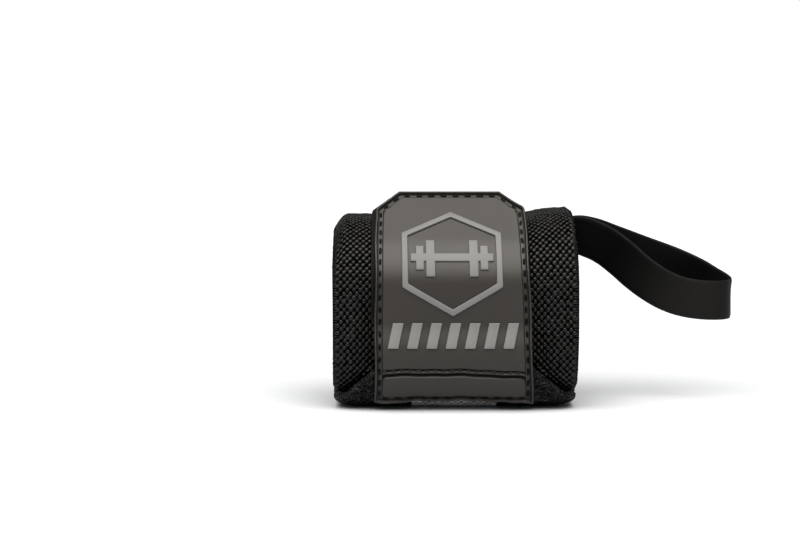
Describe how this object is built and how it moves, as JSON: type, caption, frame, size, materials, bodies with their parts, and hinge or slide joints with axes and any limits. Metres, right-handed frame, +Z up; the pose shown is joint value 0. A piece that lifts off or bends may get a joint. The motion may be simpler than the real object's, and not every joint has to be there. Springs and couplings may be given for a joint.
{
  "type": "wrist wrap",
  "caption": "Wide elastic wrist wrap, rolled up and closed by a moulded rubber tab with hook tape, with a strap thumb loop at one side.",
  "frame": {"origin": "on the surface that the roll lies on, under the middle of the band's width and of the roll's depth", "axes": "+X along the roll's axis towards the thumb loop, -Y out of the tab's face, +Z up"},
  "size_m": [0.1304, 0.0544, 0.0683],
  "materials": {
    "woven_elastic": "near-black woven elastic with rounded nubs, a grey stripe along the middle of its outer face",
    "moulded_rubber": "dark warm grey moulded rubber, satin, with stitched rim",
    "hook_tape": "black hook tape",
    "flat_webbing": "smooth black flat webbing, fine ribs",
    "raised_emblem": "light grey raised rubber, satin"
  },
  "bodies": {
    "root": {"elastic_band": "woven_elastic", "tab_face": "moulded_rubber", "hook_backing": "hook_tape", "thumb_loop": "flat_webbing", "emblem_frame": "raised_emblem", "emblem_dumbbell": "raised_emblem", "emblem_bar_1": "raised_emblem", "emblem_bar_2": "raised_emblem", "emblem_bar_3": "raised_emblem", "emblem_bar_4": "raised_emblem", "emblem_bar_5": "raised_emblem", "emblem_bar_6": "raised_emblem", "emblem_bar_7": "raised_emblem"}
  },
  "joints": []
}
